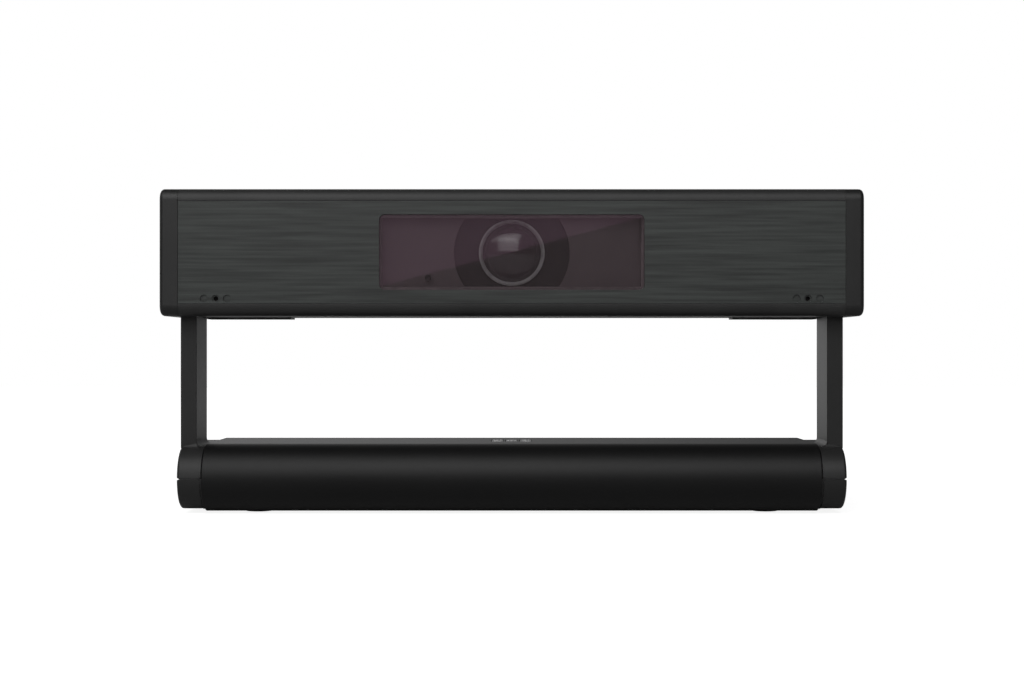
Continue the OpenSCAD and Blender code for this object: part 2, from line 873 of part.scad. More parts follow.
module socket_plate() {
    mouth_y0 = inner_back - plate_flange_t - overrun;
    mouth_y1 = head_y1 + overrun;
    color([0.07, 0.07, 0.07])
    difference() {
        union() {
            along_y(inner_back, head_y1) plate_outline(0);
            along_y(inner_back - plate_flange_t, inner_back) plate_outline(plate_flange);
        }
        along_y(mouth_y0, mouth_y1)
            translate([video_x, board_z1 + video_h / 2 + socket_wall])
                round_rect(video_w + 2 * mouth_play, video_h + 2 * mouth_play, mouth_play);
        along_y(mouth_y0, mouth_y1)
            translate([data_x, board_z1 + data_h / 2 + socket_wall])
                round_rect(data_w + 2 * mouth_play, data_h + 2 * mouth_play, data_h / 2);
        rod_y([power_x, mouth_y0, board_z1 + power_body / 2], power_r + mouth_play, mouth_y1 - mouth_y0);
        at_plate_screws() screw_space(plate_screw_len);
    }
}

module plate_screws() {
    color([0.2, 0.2, 0.2]) at_plate_screws() screw(plate_screw_len);
}

module hinge_bracket() {
    color([0.45, 0.46, 0.48])
    difference() {
        union() {
            block([bracket_x1 - bracket_foot, bracket_y0, floor_z],
                [bracket_x1, bracket_y1, floor_z + bracket_foot_t]);
            block([bracket_x0, bracket_y0, floor_z], [bracket_x1, bracket_y1, pivot_z + bracket_rise]);
        }
        rod_x([bracket_x0 - overrun, pivot_y, pivot_z], pin_d / 2 + pin_play, bracket_t + 2 * overrun);
        for (x = hinge_screw_x)
            translate([x, hinge_screw_y, head_z0 - hinge_plate_t]) screw_space(hinge_screw_len);
    }
}
module hinge_bracket_left() {
    at_side(left) hinge_bracket();
}
module hinge_bracket_right() {
    at_side(right) hinge_bracket();
}

module pivot_pin() {
    color([0.75, 0.76, 0.78]) {
        rod_x([bracket_x0 - nut_t, pivot_y, pivot_z], pin_d / 2, nut_t + bracket_t + 2 * slip + arm_t);
        rod_x([arm_x1 + slip, pivot_y, pivot_z], pin_head_r, pin_head_t);
    }
}
module pivot_pin_left() {
    at_side(left) pivot_pin();
}
module pivot_pin_right() {
    at_side(right) pivot_pin();
}

module pivot_nuts() {
    color([0.7, 0.7, 0.72])
    for (side = [left, right]) at_side(side)
        difference() {
            translate([bracket_x0 - nut_t, pivot_y, pivot_z]) rotate([0, 90, 0])
                cylinder(r = washer_r, h = nut_t, $fn = 6);
            rod_x([bracket_x0 - nut_t - overrun, pivot_y, pivot_z],
                pin_d / 2 + pin_play, nut_t + 2 * overrun);
        }
}

module hinge_plate() {
    color([0.05, 0.05, 0.05])
    difference() {
        block([hinge_plate_x0, hinge_plate_y0, head_z0 - hinge_plate_t],
            [hinge_plate_x1, hinge_plate_y0 + hinge_plate_d, head_z0]);
        for (x = hinge_screw_x)
            translate([x, hinge_screw_y, head_z0 - hinge_plate_t]) screw_space(hinge_screw_len);
    }
}
module hinge_plate_left() {
    at_side(left) hinge_plate();
}
module hinge_plate_right() {
    at_side(right) hinge_plate();
}

module hinge_screws() {
    color([0.2, 0.2, 0.2]) at_hinge_screws() screw(hinge_screw_len);
}

module head_chassis() {
    top = floor_z + chassis_t;
    color([0.65, 0.66, 0.68])
    difference() {
        union() {
            block([-chassis_x, chassis_y0, floor_z], [chassis_x, chassis_y1, top]);
            block([-upright_x, upright_y, floor_z], [upright_x, upright_y + upright_t, upright_top]);
            for (side = [left, right], y = [board_y0 + 2 * standoff_r, board_y1 - 2 * standoff_r])
                rod_z([side * (board_x - 2 * standoff_r), y, floor_z], standoff_r, chassis_t + standoff_h);
        }
        rod_y([0, upright_y - overrun, window_mid], barrel_d / 2 + slip, upright_t + 2 * overrun);
        at_chassis_screws() screw_space(chassis_screw_len);
        at_carrier_screws() screw_space(carrier_screw_len);
    }
}

module chassis_screws() {
    color([0.2, 0.2, 0.2]) at_chassis_screws() screw(chassis_screw_len);
}

module lens_carrier() {
    color([0.17, 0.15, 0.16])
    difference() {
        along_y(carrier_y, carrier_y + carrier_t)
            translate([0, window_mid])
                intersection() {
                    circle(d = carrier_d);
                    square([carrier_d + overrun, carrier_h], center = true);
                }
        rod_y([0, carrier_y - overrun, window_mid], barrel_d / 2 + slip, carrier_t + 2 * overrun);
        at_carrier_screws() screw_space(carrier_screw_len);
    }
}

module carrier_screws() {
    color([0.2, 0.2, 0.2]) at_carrier_screws() screw(carrier_screw_len);
}

module lens_barrel() {
    color([0.08, 0.08, 0.08])
    difference() {
        rod_y([0, carrier_y, window_mid], barrel_d / 2, barrel_len);
        rod_y([0, carrier_y - overrun, window_mid], barrel_d / 2 - barrel_wall, barrel_len + 2 * overrun);
    }
}

module lens_ring() {
    color([0.35, 0.32, 0.33])
    translate([0, carrier_y, window_mid]) facing_front()
        difference() {
            cylinder(d = ring_d, h = ring_t);
            translate([0, 0, -overrun]) cylinder(r = glass_r, h = ring_t + 2 * overrun);
            translate([0, 0, ring_t - ring_face / 2])
                cylinder(r1 = glass_r, r2 = glass_r + ring_face, h = ring_face);
        }
}

module front_lens() {
    color([0.2, 0.2, 0.25, 0.6])
    translate([0, carrier_y, window_mid]) facing_front()
        rotate_extrude()
            polygon(concat(
                [[0, 0]],
                [for (i = [0 : dome_steps])
                    let (a = dome_angle * (1 - i / dome_steps))
                        [max(0, dome_r * sin(a) - slip * (1 - i / dome_steps)), dome_h - dome_r + dome_r * cos(a)]]));
}

module inner_lenses() {
    color([0.6, 0.65, 0.75, 0.6])
    for (i = [0, 1])
        rod_y([0, carrier_y + lens_shares[i] * barrel_len, window_mid],
            barrel_d / 2 - barrel_wall - slip / 2, lens_t[i]);
}

module image_sensor() {
    color([0.2, 0.25, 0.4])
    block([-sensor_w / 2, barrel_end - sensor_t, window_mid - sensor_h / 2],
        [sensor_w / 2, barrel_end, window_mid + sensor_h / 2]);
}

module sensor_board() {
    color([0.05, 0.25, 0.12])
    block([-sensor_board_w / 2, barrel_end, window_mid - sensor_board_w / 2],
        [sensor_board_w / 2, barrel_end + board_t, window_mid + sensor_board_w / 2]);
}

module sensor_ribbon() {
    y0 = barrel_end + board_t;
    color([0.75, 0.75, 0.78])
    block([-ribbon_w, y0, board_z1], [ribbon_w, y0 + ribbon_t, window_mid - sensor_board_w / 4]);
}

module main_board() {
    color([0.05, 0.25, 0.12])
    block([-board_x, board_y0, board_z0], [board_x, board_y1, board_z1]);
}

module processor() {
    y = (board_y0 + board_y1) / 2;
    color([0.15, 0.15, 0.16])
    block([chip_x - chip_w / 2, y - chip_w / 2, board_z1],
        [chip_x + chip_w / 2, y + chip_w / 2, board_z1 + chip_t]);
}

module heat_sink() {
    y = (board_y0 + board_y1) / 2;
    z = board_z1 + chip_t;
    step = (sink_w - fin_t) / (fin_count - 1);
    color([0.75, 0.76, 0.77])
    translate([chip_x - sink_w / 2, y - sink_d / 2, z]) {
        cube([sink_w, sink_d, sink_base]);
        for (i = [0 : fin_count - 1]) translate([i * step, 0, 0]) cube([fin_t, sink_d, sink_base + sink_fin]);
    }
}

module video_socket() {
    w = video_w / 2 + socket_wall;
    z1 = board_z1 + video_h + 2 * socket_wall;
    y1 = inner_back - plate_flange_t - slip;
    color([0.7, 0.7, 0.72])
    difference() {
        block([video_x - w, y1 - socket_len, board_z1], [video_x + w, y1, z1]);
        block([video_x - w + socket_wall, y1 - socket_len + socket_wall, board_z1 + socket_wall],
            [video_x + w - socket_wall, y1 + overrun, z1 - socket_wall]);
    }
}

module data_socket() {
    h = data_h + 2 * socket_wall;
    y1 = inner_back - plate_flange_t - slip;
    color([0.7, 0.7, 0.72])
    difference() {
        along_y(y1 - socket_len, y1)
            translate([data_x, board_z1 + h / 2]) round_rect(data_w + 2 * socket_wall, h, h / 2 - slip);
        along_y(y1 - socket_len + socket_wall, y1 + overrun)
            translate([data_x, board_z1 + h / 2]) round_rect(data_w, data_h, data_h / 2 - slip);
    }
}

module power_socket() {
    y1 = inner_back - plate_flange_t - slip;
    contact_r = power_r / 3;
    color([0.06, 0.06, 0.06]) {
        difference() {
            block([power_x - power_body / 2, y1 - socket_len, board_z1],
                [power_x + power_body / 2, y1, board_z1 + power_body]);
            rod_y([power_x, y1 - socket_len + socket_wall, board_z1 + power_body / 2], power_r, socket_len);
        }
        rod_y([power_x, y1 - socket_len + socket_wall / 2, board_z1 + power_body / 2],
            contact_r, socket_len - 2 * socket_wall);
    }
}

module mic_board() {
    y0 = inner_front + capsule_t;
    color([0.05, 0.25, 0.12])
    block([mic_x[1] - mic_board_w / 2, y0, floor_z],
        [mic_x[1] + mic_board_w / 2, y0 + mic_board_t, floor_z + mic_board_h]);
}
module mic_board_left() {
    at_side(left) mic_board();
}
module mic_board_right() {
    at_side(right) mic_board();
}

module mic_capsules() {
    color([0.8, 0.78, 0.7])
    for (side = [left, right])
        difference() {
            rod_y([side * mic_x[1], inner_front, mic_z], capsule_r, capsule_t);
            rod_y([side * mic_x[1], inner_front - overrun, mic_z], mic_port_r / 2, overrun + capsule_t / 2);
        }
}

module light_sensor() {
    color([0.03, 0.03, 0.04])
    rod_y([eye_x, panel_back + eye_gap, window_mid - eye_drop], eye_r, eye_len);
}

module light_sensor_board() {
    y0 = panel_back + eye_gap + eye_len;
    color([0.05, 0.25, 0.12])
    block([eye_x - eye_board_w / 2, y0, floor_z],
        [eye_x + eye_board_w / 2, y0 + mic_board_t, window_mid - eye_drop + eye_board_w / 2]);
}

// Shallow tray behind the window that hides the inside, with openings for the lens and the light sensor
module light_shield() {
    color([0.14, 0.12, 0.13])
    difference() {
        block([-shield_x, shield_rim_y, shield_z0], [shield_x, shield_y1, shield_z1]);
        block([-shield_x + shield_t, shield_rim_y - overrun, shield_z0 + shield_t],
            [shield_x - shield_t, shield_y0, shield_z1 - shield_t]);
        along_y(shield_y0 - overrun, shield_y1 + overrun)
            translate([0, window_mid])
                intersection() {
                    circle(d = shield_hole_d);
                    square([shield_hole_d + overrun, shield_hole_h], center = true);
                }
        rod_y([eye_x, shield_y0 - overrun, window_mid - eye_drop], eye_r + slip, shield_t + 2 * overrun);
    }
}

base_sleeve();
base_tray();
weight_bar();
base_board();
cable_connector();
key_board();
key_switches();
volume_down_key();
mute_key();
volume_up_key();
tripod_insert();
rubber_feet();
arm_left();
arm_right();
base_cap_left();
base_cap_right();
arm_screws();
weight_screws();
arm_ribbon();
friction_washers();
head_housing();
front_panel();
window();
window_gasket();
head_cap_left();
head_cap_right();
socket_plate();
plate_screws();
hinge_bracket_left();
hinge_bracket_right();
pivot_pin_left();
pivot_pin_right();
pivot_nuts();
hinge_plate_left();
hinge_plate_right();
hinge_screws();
head_chassis();
chassis_screws();
lens_carrier();
carrier_screws();
lens_barrel();
lens_ring();
front_lens();
inner_lenses();
image_sensor();
sensor_board();
sensor_ribbon();
main_board();
processor();
heat_sink();
video_socket();
data_socket();
power_socket();
mic_board_left();
mic_board_right();
mic_capsules();
light_sensor();
light_sensor_board();
light_shield();
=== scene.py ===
"""Looks of a conference camera: a wide camera head on two flat arms above a round-nosed base bar."""

import json
import math

import bmesh
import bpy
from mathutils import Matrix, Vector


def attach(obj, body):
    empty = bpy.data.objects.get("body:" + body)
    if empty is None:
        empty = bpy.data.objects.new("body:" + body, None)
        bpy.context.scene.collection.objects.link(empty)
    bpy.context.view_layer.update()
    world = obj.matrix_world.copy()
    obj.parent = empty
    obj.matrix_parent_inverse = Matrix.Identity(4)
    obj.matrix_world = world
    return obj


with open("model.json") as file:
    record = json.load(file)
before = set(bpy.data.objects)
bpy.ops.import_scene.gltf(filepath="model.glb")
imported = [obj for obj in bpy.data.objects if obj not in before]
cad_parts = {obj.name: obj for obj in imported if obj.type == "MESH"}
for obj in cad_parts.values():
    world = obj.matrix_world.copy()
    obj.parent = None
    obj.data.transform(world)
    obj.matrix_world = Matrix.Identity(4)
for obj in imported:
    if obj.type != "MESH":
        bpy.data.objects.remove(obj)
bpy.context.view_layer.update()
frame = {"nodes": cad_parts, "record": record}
nodes = frame["nodes"]
scene = bpy.context.scene

MM = 0.001

# Camera, taken from the photograph's perspective
CAMERA_AT = (0.0001, -0.9475, 0.0828)
CAMERA_LENS = 63.28
SENSOR_WIDTH = 36.0

# Height of the base's top face, in millimetres
BASE_TOP = 35.2


# Materials

# Share of a noise's range that its tones and roughness are spread over
NOISE_LOW = 0.3
NOISE_HIGH = 0.7

# Pattern scales, in cells per metre
CLOUD_SCALE = 35.0
BOARD_CELLS = 420.0

COAT_ROUGHNESS = 0.36
BRUSH_ROUGH_VARY = 0.05
NODE_SPACING = 220


class Shader:
    """A node material that is built up one node at a time."""

    def __init__(self, name):
        self.material = bpy.data.materials.new(name)
        self.material.use_nodes = True
        self.tree = self.material.node_tree
        self.surface = self.tree.nodes["Principled BSDF"]
        self.column = 0

    def node(self, kind, **settings):
        made = self.tree.nodes.new(kind)
        self.column += 1
        made.location = (-NODE_SPACING * self.column, 0)
        for key, value in settings.items():
            setattr(made, key, value)
        return made

    def link(self, source, target):
        self.tree.links.new(source, target)

    def set(self, **values):
        for key, value in values.items():
            socket = self.surface.inputs[key.replace("_", " ")]
            if isinstance(value, tuple):
                value = (*value, 1.0)
            socket.default_value = value

    def coordinates(self, scale=(1.0, 1.0, 1.0)):
        place = self.node("ShaderNodeTexCoord")
        stretch = self.node("ShaderNodeMapping")
        stretch.inputs["Scale"].default_value = scale
        self.link(place.outputs["Object"], stretch.inputs["Vector"])
        return stretch.outputs["Vector"]

    def noise(self, scale, detail=3.0, stretch=(1.0, 1.0, 1.0)):
        made = self.node("ShaderNodeTexNoise")
        made.inputs["Scale"].default_value = scale
        made.inputs["Detail"].default_value = detail
        self.link(self.coordinates(stretch), made.inputs["Vector"])
        return made.outputs["Fac"]

    def spread(self, value, low, high):
        made = self.node("ShaderNodeMapRange")
        made.inputs["From Min"].default_value = NOISE_LOW
        made.inputs["From Max"].default_value = NOISE_HIGH
        made.inputs["To Min"].default_value = low
        made.inputs["To Max"].default_value = high
        self.link(value, made.inputs["Value"])
        return made.outputs["Result"]

    def two_tone(self, value, dark, light):
        ramp = self.node("ShaderNodeValToRGB")
        ramp.color_ramp.elements[0].position = NOISE_LOW
        ramp.color_ramp.elements[1].position = NOISE_HIGH
        ramp.color_ramp.elements[0].color = (*dark, 1.0)
        ramp.color_ramp.elements[1].color = (*light, 1.0)
        self.link(value, ramp.inputs["Fac"])
        return ramp.outputs["Color"]

    def bump(self, height, strength, distance):
        made = self.node("ShaderNodeBump")
        made.inputs["Strength"].default_value = strength
        made.inputs["Distance"].default_value = distance
        self.link(height, made.inputs["Height"])
        self.link(made.outputs["Normal"], self.surface.inputs["Normal"])


def scaled(colour, factor):
    return tuple(channel * factor for channel in colour)


def grained(name, colour, roughness, metallic=0.0, specular=0.5, grain=2600.0, depth=0.00002,
            strength=0.25, vary=0.12, rough_vary=0.04, coat=0.0):
    """A fine-grained coat, cast or moulded surface, with a share of clear coat."""
    made = Shader(name)
    made.set(Metallic=metallic, Specular_IOR_Level=specular)
    made.set(Coat_Weight=coat, Coat_Roughness=COAT_ROUGHNESS)
    cloud = made.noise(CLOUD_SCALE, detail=4.0)
    tone = made.two_tone(cloud, scaled(colour, 1.0 - vary), scaled(colour, 1.0 + vary))
    made.link(tone, made.surface.inputs["Base Color"])
    speckle = made.noise(grain, detail=3.0)
    rough = made.spread(speckle, roughness - rough_vary, roughness + rough_vary)
    made.link(rough, made.surface.inputs["Roughness"])
    made.bump(speckle, strength, depth)
    return made.material


def brushed(name, colour, roughness, metallic, along=(5.0, 900.0, 900.0), depth=0.000012, vary=0.22,
            specular=0.5, anisotropy=0.5):
    """Metal with straight brush lines along one axis."""
    made = Shader(name)
    made.set(Metallic=metallic, Specular_IOR_Level=specular, Anisotropic=anisotropy)
    lines = made.noise(scale=1.0, detail=6.0, stretch=along)
    tone = made.two_tone(lines, scaled(colour, 1.0 - vary), scaled(colour, 1.0 + vary))
    made.link(tone, made.surface.inputs["Base Color"])
    rough = made.spread(lines, roughness - BRUSH_ROUGH_VARY, roughness + BRUSH_ROUGH_VARY)
    made.link(rough, made.surface.inputs["Roughness"])
    made.bump(lines, strength=0.3, distance=depth)
    return made.material


def smoked(name, colour, alpha):
    """The tinted window: it hides most of what is behind it and mirrors the room."""
    made = Shader(name)
    made.set(Roughness=0.012, Specular_IOR_Level=0.9, Alpha=alpha)
    cloud = made.noise(scale=18.0, detail=2.0)
    tone = made.two_tone(cloud, scaled(colour, 0.97), scaled(colour, 1.03))
    made.link(tone, made.surface.inputs["Base Color"])
    ripple = made.noise(scale=6.0, detail=1.0)
    made.bump(ripple, strength=0.005, distance=0.0005)
    return made.material


def coated_glass(name, colour, coat_tint, alpha):
    """A coated lens: nearly black, with a tinted mirror image in its surface."""
    made = Shader(name)
    made.set(Roughness=0.02, Specular_IOR_Level=1.0, Alpha=alpha)
    made.set(Coat_Weight=1.0, Coat_Roughness=0.01, Coat_IOR=1.75, Coat_Tint=coat_tint)
    cloud = made.noise(scale=60.0, detail=2.0)
    tone = made.two_tone(cloud, scaled(colour, 0.9), scaled(colour, 1.1))
    made.link(tone, made.surface.inputs["Base Color"])
    return made.material


def board(name, colour):
    """A populated circuit board: traces and pads under a coloured mask."""
    made = Shader(name)
    made.set(Roughness=0.4, Specular_IOR_Level=0.5)
    cells = made.node("ShaderNodeTexVoronoi")
    cells.feature = "DISTANCE_TO_EDGE"
    cells.inputs["Scale"].default_value = BOARD_CELLS
    made.link(made.coordinates(), cells.inputs["Vector"])
    tone = made.two_tone(cells.outputs["Distance"], scaled(colour, 1.6), colour)
    made.link(tone, made.surface.inputs["Base Color"])
    made.bump(cells.outputs["Distance"], strength=0.2, distance=0.00003)
    return made.material


# The base's sleeve is the darkest coat, and the arms have a share of clear coat
SATIN = (0.0045, 0.0045, 0.0046)
finishes = {
    "satin_black": grained("satin_black", SATIN, 0.47, specular=0.28),
    "brushed_black": brushed("brushed_black", (0.0325, 0.0367, 0.0345), 0.42, 0.0,
                             along=(24.0, 700.0, 700.0), vary=0.42),
    # The head's housing is the sleeve's black coat given a lighter tone: painted light that brightens its
    # lit top lip and its lower lip
    "housing_black": grained("housing_black", (0.026, 0.026, 0.026), 0.47, specular=0.32),
    "head_cap_black": grained("head_cap_black", (0.0135, 0.0135, 0.0135), 0.45, specular=0.4),
    "arm_black": grained("arm_black", (0.0135, 0.0135, 0.0135), 0.6, specular=0.3, coat=0.23),
    "cap_black": grained("cap_black", (0.016, 0.016, 0.016), 0.45, specular=0.4),
    "key_black": grained("key_black", (0.024, 0.024, 0.024), 0.38, grain=1800.0),
    "smoked_window": smoked("smoked_window", (0.067, 0.052, 0.056), 0.3),
    "lens_glass": coated_glass("lens_glass", (0.07, 0.054, 0.061), (0.9, 0.85, 0.9), 0.7),
    "optic_black": grained("optic_black", (0.014, 0.011, 0.012), 0.5, specular=0.2, grain=900.0,
                           strength=0.05, rough_vary=0.01),
    "shield_grey": grained("shield_grey", (0.137, 0.107, 0.117), 0.6, specular=0.1, grain=900.0,
                           strength=0.05, rough_vary=0.01),
    "ring_metal": brushed("ring_metal", (0.35, 0.335, 0.345), 0.45, 0.15, along=(300.0, 300.0, 300.0)),
    "mark_white": grained("mark_white", (0.78, 0.78, 0.78), 0.5, grain=1500.0),
    "rubber": grained("rubber", (0.018, 0.018, 0.018), 0.8, grain=900.0, depth=0.00006),
    "brass": brushed("brass", (0.60, 0.42, 0.16), 0.32, 1.0, along=(400.0, 400.0, 2500.0)),
    "steel": brushed("steel", (0.50, 0.50, 0.51), 0.30, 1.0, along=(500.0, 500.0, 500.0)),
    "cast_weight": grained("cast_weight", (0.12, 0.12, 0.125), 0.65, metallic=0.6, grain=700.0,
                           depth=0.0001),
    "bare_aluminium": brushed("bare_aluminium", (0.62, 0.63, 0.64), 0.36, 1.0, along=(8.0, 700.0, 700.0)),
    "plate_black": grained("plate_black", (0.010, 0.010, 0.010), 0.5),
    "ribbon": brushed("ribbon", (0.34, 0.14, 0.03), 0.35, 0.0, along=(900.0, 900.0, 6.0), anisotropy=0.0),
    "connector": grained("connector", (0.55, 0.52, 0.44), 0.5, grain=1200.0),
    "screw_black": brushed("screw_black", (0.045, 0.045, 0.047), 0.34, 0.7, along=(700.0, 700.0, 90.0)),
    "circuit_board": board("circuit_board", (0.010, 0.055, 0.025)),
    "chip": grained("chip", (0.020, 0.020, 0.022), 0.42, grain=2200.0),
}


# Nodes carried over from the solid model

# Round on the outer edges of each carried node, in millimetres
EDGES = {
    "base_sleeve": 0.25, "head_housing": 0.1, "front_panel": 0.05, "window": 0.1, "lens_ring": 0.1,
    "lens_carrier": 0.2, "arm_left": 0.25, "arm_right": 0.25, "base_cap_left": 0.2, "base_cap_right": 0.2,
    "head_cap_left": 0.2, "head_cap_right": 0.2, "hinge_plate_left": 0.15, "hinge_plate_right": 0.15,
    "socket_plate": 0.2, "rubber_feet": 0.2, "tripod_insert": 0.15, "volume_down_key": 0.25,
    "mute_key": 0.25, "volume_up_key": 0.25,
}
SMALL_EDGE = 0.1
WELD_DISTANCE = 0.002
FLAT_ANGLE = 1.0
ROUND_ANGLE = 32.0
FACE_WEIGHT = 80


def soften(obj, edge):
    """Rounds an object's sharp edges and shades the rest smoothly, without touching its mesh."""
    weld = obj.modifiers.new("weld", "WELD")
    weld.merge_threshold = WELD_DISTANCE * MM
    flat = obj.modifiers.new("flat", "DECIMATE")
    flat.decimate_type = "DISSOLVE"
    flat.angle_limit = math.radians(FLAT_ANGLE)
    rounding = obj.modifiers.new("rounding", "BEVEL")
    rounding.width = edge * MM
    rounding.segments = 2
    rounding.limit_method = "ANGLE"
    rounding.angle_limit = math.radians(ROUND_ANGLE)
    rounding.use_clamp_overlap = False
    normals = obj.modifiers.new("normals", "WEIGHTED_NORMAL")
    normals.keep_sharp = False
    normals.weight = FACE_WEIGHT


def slot_of(node):
    for row in frame["record"]["subparts"]:
        if row["node"] == node:
            return row["material_slot"]
    return "satin_black"


# Nodes whose finish differs from that of their slot
OWN_FINISH = {
    "light_shield": "shield_grey", "window_gasket": "shield_grey", "head_housing": "housing_black",
    "mic_capsules": "optic_black", "head_cap_left": "head_cap_black", "head_cap_right": "head_cap_black",
}

for name, obj in nodes.items():
    obj.data.materials.clear()
    obj.data.materials.append(finishes[OWN_FINISH.get(name, slot_of(name))])
    soften(obj, EDGES.get(name, SMALL_EDGE))


# Added pieces

JOIN_DISTANCE = 0.001


def finish_piece(name, build, body, slot):
    """Turns a bmesh drawn in millimetres into a dressed piece that rides on a body."""
    bmesh.ops.remove_doubles(build, verts=build.verts, dist=JOIN_DISTANCE)
    bmesh.ops.recalc_face_normals(build, faces=build.faces)
    bmesh.ops.scale(build, vec=(MM, MM, MM), verts=build.verts)
    mesh = bpy.data.meshes.new(name)
    build.to_mesh(mesh)
    build.free()
    mesh.shade_smooth()
    mesh.materials.append(finishes[slot])
    piece = bpy.data.objects.new(name, mesh)
    scene.collection.objects.link(piece)
    normals = piece.modifiers.new("normals", "WEIGHTED_NORMAL")
    normals.weight = FACE_WEIGHT
    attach(piece, body)


def loft(build, rings):
    """Joins closed rings of points with quads and closes both ends."""
    rows = [[build.verts.new(point) for point in ring] for ring in rings]
    count = len(rows[0])
    for first, second in zip(rows, rows[1:]):
        for i in range(count):
            j = (i + 1) % count
            build.faces.new((first[i], first[j], second[j], second[i]))
    build.faces.new(rows[0])
    build.faces.new(list(reversed(rows[-1])))


# Foot of an arm: a concave blend that starts at the cap's outer corner and grows round the inner side,
# in millimetres
ARM_INNER = 159.9
ARM_OUTER = 168.0
ARM_FRONT = -34.3
ARM_BACK = -3.3
CAP_MIDDLE = 18.1
CAP_RADIUS = 16.0
CAP_ARC_START = 30.4
FOOT_FRONT = 2.0
FOOT_SIDE = 2.7
FOOT_TIP = 0.1
FOOT_START = 0.6
FOOT_STEPS = 10
SINK = 0.6
FRONT_STATIONS = 8
TURN_STATIONS = 6
SIDE_STATIONS = 4


def cap_height(y):
    """Height of an end cap's upper surface at a depth."""
    beyond = max(0.0, abs(y) - CAP_ARC_START)
    return CAP_MIDDLE + math.sqrt(max(0.0, CAP_RADIUS ** 2 - beyond ** 2))


def foot_ring(x, y, out_x, out_y, radius):
    """One closed section of the blend, square to the arm's face, that leans out along (out_x, out_y)."""
    ring = [(x - out_x * SINK, y - out_y * SINK, cap_height(y) - SINK)]
    ring.append((x - out_x * SINK, y - out_y * SINK, cap_height(y) + radius))
    for i in range(FOOT_STEPS + 1):
        angle = math.radians(90.0 * i / FOOT_STEPS)
        reach = radius - radius * math.cos(angle)
        px, py = x + out_x * reach, y + out_y * reach
        ring.append((px, py, cap_height(py) + radius - radius * math.sin(angle)))
    px, py = x + out_x * radius, y + out_y * radius
    ring.append((px, py, cap_height(py) - SINK))
    return ring


def make_foot(name, side):
    """The blend along the front, the inner side and the back of one arm."""
    outer = ARM_OUTER - FOOT_START
    stations = []
    for i in range(FRONT_STATIONS + 1):
        share = i / FRONT_STATIONS
        x = outer - share * (outer - ARM_INNER)
        stations.append((x, ARM_FRONT, 0.0, -1.0, FOOT_TIP + share * (FOOT_FRONT - FOOT_TIP)))
    for i in range(1, TURN_STATIONS + 1):
        turn = math.radians(90.0 * i / TURN_STATIONS)
        radius = FOOT_FRONT + (FOOT_SIDE - FOOT_FRONT) * i / TURN_STATIONS
        stations.append((ARM_INNER, ARM_FRONT, -math.sin(turn), -math.cos(turn), radius))
    for i in range(1, SIDE_STATIONS + 1):
        y = ARM_FRONT + (ARM_BACK - ARM_FRONT) * i / SIDE_STATIONS
        stations.append((ARM_INNER, y, -1.0, 0.0, FOOT_SIDE))
    for i in range(1, TURN_STATIONS + 1):
        turn = math.radians(90.0 * i / TURN_STATIONS)
        radius = FOOT_SIDE + (FOOT_FRONT - FOOT_SIDE) * i / TURN_STATIONS
        stations.append((ARM_INNER, ARM_BACK, -math.cos(turn), math.sin(turn), radius))
    for i in range(1, FRONT_STATIONS + 1):
        share = 1.0 - i / FRONT_STATIONS
        x = ARM_INNER + (1.0 - share) * (outer - ARM_INNER)
        stations.append((x, ARM_BACK, 0.0, 1.0, FOOT_TIP + share * (FOOT_FRONT - FOOT_TIP)))
    build = bmesh.new()
    loft(build, [foot_ring(*station) for station in stations])
    if side < 0:
        bmesh.ops.scale(build, vec=(-1.0, 1.0, 1.0), verts=build.verts)
    finish_piece(name, build, "base", "arm_black")


make_foot("foot_blend_left", -1)
make_foot("foot_blend_right", 1)


# Marks on the keys, drawn long so that they read at a low angle, in millimetres
MARK_RAISE = 0.1
MARK_SINK = 0.1
KEY_X = {"volume_down": -7.4, "mute": 0.0, "volume_up": 7.4}
KEY_MIDDLE = -1.5


def bar(x0, x1, y0, y1):
    """A rectangle's corners, anticlockwise."""
    return [(x0, y0), (x1, y0), (x1, y1), (x0, y1)]


def arc_band(x, y, rx, ry, width, start, end, steps=24):
    """A curved band of an ellipse, as an outline."""
    outer, inner = [], []
    for i in range(steps + 1):
        angle = math.radians(start + (end - start) * i / steps)
        outer.append((x + rx * math.cos(angle), y + ry * math.sin(angle)))
        scale = width / math.hypot(rx * math.cos(angle), ry * math.sin(angle))
        inner.append((x + rx * (1 - scale) * math.cos(angle), y + ry * (1 - scale) * math.sin(angle)))
    return outer + inner[::-1]


SPEAKER = [(-2.2, 1.8), (-1.2, 1.8), (0.2, -0.6), (0.2, 8.6), (-1.2, 6.2), (-2.2, 6.2)]
WAVE = arc_band(0.2, 4.0, 1.9, 4.2, 0.6, -55.0, 55.0)
MARKS = {
    "volume_down": [SPEAKER, WAVE, bar(-1.8, 1.8, -8.6, -6.4)],
    "mute": [arc_band(0.0, 1.0, 2.3, 7.0, 0.75, 75.0, 284.0),
             arc_band(0.0, 1.0, 2.3, 7.0, 0.75, -76.0, 76.0),
             [(-1.0, -3.0), (-0.5, -3.6), (1.0, 5.0), (0.5, 5.6)]],
    "volume_up": [SPEAKER, WAVE, bar(-1.8, 1.8, -8.4, -6.6), bar(-0.4, 0.4, -10.6, -4.4)],
}


def make_marks(body):
    build = bmesh.new()
    for outline in MARKS[body]:
        low = [(KEY_X[body] + x, KEY_MIDDLE + y, BASE_TOP - MARK_SINK) for x, y in outline]
        high = [(x, y, BASE_TOP + MARK_RAISE) for x, y, _ in low]
        loft(build, [low, high])
    finish_piece(body + "_mark", build, body, "mark_white")


for body in MARKS:
    make_marks(body)


# Camera and light

def aim(obj, target):
    direction = Vector(target) - obj.location
    obj.rotation_euler = direction.to_track_quat("-Z", "Y").to_euler()


